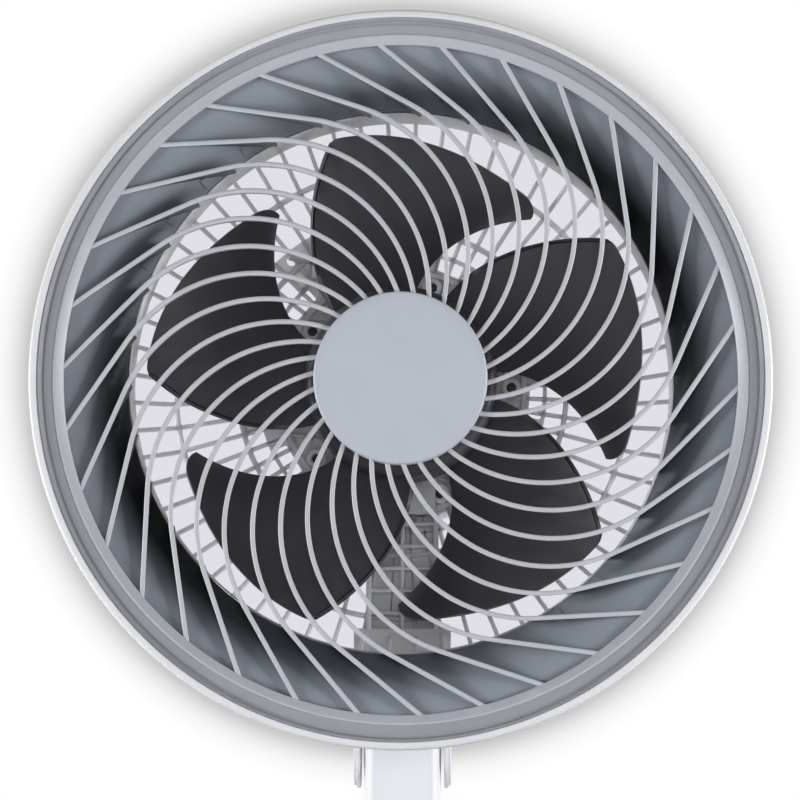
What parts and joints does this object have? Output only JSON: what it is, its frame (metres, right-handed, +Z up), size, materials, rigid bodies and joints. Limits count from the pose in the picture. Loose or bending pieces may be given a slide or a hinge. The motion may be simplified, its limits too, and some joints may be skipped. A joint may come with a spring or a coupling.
{
  "type": "table air circulator fan",
  "caption": "Round table fan with a swept-vane front grille, spinning impeller, tilting head on a slim swivelling neck, and a round weighted base with push buttons.",
  "frame": {"origin": "centre of the round base on the surface the fan stands on", "axes": "+Z up along the neck; the fan blows towards -Y, and +Y points out of the back of the head; +X is to the right of someone facing the grille"},
  "size_m": [0.26, 0.168, 0.345],
  "materials": {
    "white_plastic": "fine satin moulded plastic, white",
    "grey_plastic": "fine satin moulded plastic, cool mid grey",
    "cap_plastic": "smooth satin moulded plastic, light blue-grey",
    "funnel_plastic": "satin moulded plastic, slate grey",
    "blade_plastic": "satin moulded plastic, charcoal",
    "lattice_plastic": "satin moulded plastic, light grey",
    "black_plastic": "plain black plastic",
    "gear_plastic": "natural acetal",
    "steel": "zinc-plated or ground steel",
    "bell_metal": "die-cast, matte",
    "winding_copper": "enamelled copper wire",
    "weight_iron": "plain steel plate",
    "board_green": "solder mask",
    "lens_black": "glossy smoked plastic",
    "foot_rubber": "soft black rubber"
  },
  "bodies": {
    "base": {"base_top": "white_plastic", "base_bottom": "white_plastic", "base_weight": "weight_iron", "bearing_ring": "black_plastic", "oscillation_motor": "steel", "control_board": "board_green", "display_lens": "lens_black", "power_inlet": "black_plastic", "rubber_foot_1": "foot_rubber", "rubber_foot_2": "foot_rubber", "rubber_foot_3": "foot_rubber", "rubber_foot_4": "foot_rubber", "weight_screw_1": "steel", "weight_screw_2": "steel", "weight_screw_3": "steel"},
    "neck": {"column_front": "white_plastic", "column_rear": "white_plastic", "hinge_block": "white_plastic", "swivel_shaft": "black_plastic", "swivel_gear": "gear_plastic", "column_screw_1": "steel", "column_screw_2": "steel", "tilt_pin": "steel", "tilt_nut": "steel", "tilt_washer_left": "black_plastic", "tilt_washer_right": "black_plastic"},
    "head": {"front_grille": "grey_plastic", "grille_cap": "cap_plastic", "head_housing": "white_plastic", "duct_cone": "funnel_plastic", "rear_grille": "lattice_plastic", "motor_front_bell": "bell_metal", "motor_rear_bell": "bell_metal", "stator_core": "steel", "winding_front": "winding_copper", "winding_rear": "winding_copper", "front_bearing": "steel", "rear_bearing": "steel", "driver_board": "board_green", "head_bracket": "white_plastic", "motor_screw_1": "steel", "motor_screw_2": "steel", "motor_screw_3": "steel", "motor_pod": "white_plastic", "pod_screw_1": "steel", "pod_screw_2": "steel"},
    "fan": {"impeller": "blade_plastic", "spinner_nut": "black_plastic", "motor_shaft": "steel", "rotor": "steel"},
    "pinion": {"drive_pinion": "black_plastic"},
    "power_key": {"button_power": "grey_plastic"},
    "speed_key": {"button_speed": "grey_plastic"},
    "swing_key": {"button_swing": "grey_plastic"},
    "timer_key": {"button_timer": "grey_plastic"}
  },
  "joints": [
    {"name": "swivel", "type": "hinge", "parent": "base", "child": "neck", "pos_m": [0, 0, 0.0273], "axis": [0, 0, 1], "range_deg": [-45, 45]},
    {"name": "head_tilt", "type": "hinge", "parent": "neck", "child": "head", "pos_m": [0, 0, 0.1], "axis": [-1, 0, 0], "range_deg": [-10, 35]},
    {"name": "fan_spin", "type": "hinge", "parent": "head", "child": "fan", "pos_m": [0, -0.02, 0.215], "axis": [0, 1, 0], "continuous": true},
    {"name": "pinion_spin", "type": "hinge", "parent": "base", "child": "pinion", "pos_m": [0, 0.03015, 0.0165], "axis": [0, 0, 1], "range_deg": [-200, 200]},
    {"name": "power_press", "type": "slide", "parent": "base", "child": "power_key", "axis": [0, 0, -1], "range_m": [0, 0.001], "stiffness_N_per_m": 600, "springref_m": -0.001},
    {"name": "speed_press", "type": "slide", "parent": "base", "child": "speed_key", "axis": [0, 0, -1], "range_m": [0, 0.001], "stiffness_N_per_m": 600, "springref_m": -0.001},
    {"name": "swing_press", "type": "slide", "parent": "base", "child": "swing_key", "axis": [0, 0, -1], "range_m": [0, 0.001], "stiffness_N_per_m": 600, "springref_m": -0.001},
    {"name": "timer_press", "type": "slide", "parent": "base", "child": "timer_key", "axis": [0, 0, -1], "range_m": [0, 0.001], "stiffness_N_per_m": 600, "springref_m": -0.001}
  ],
  "couplings": [
    {"joint": "pinion_spin", "follows": "swivel", "ratio": -4}
  ]
}
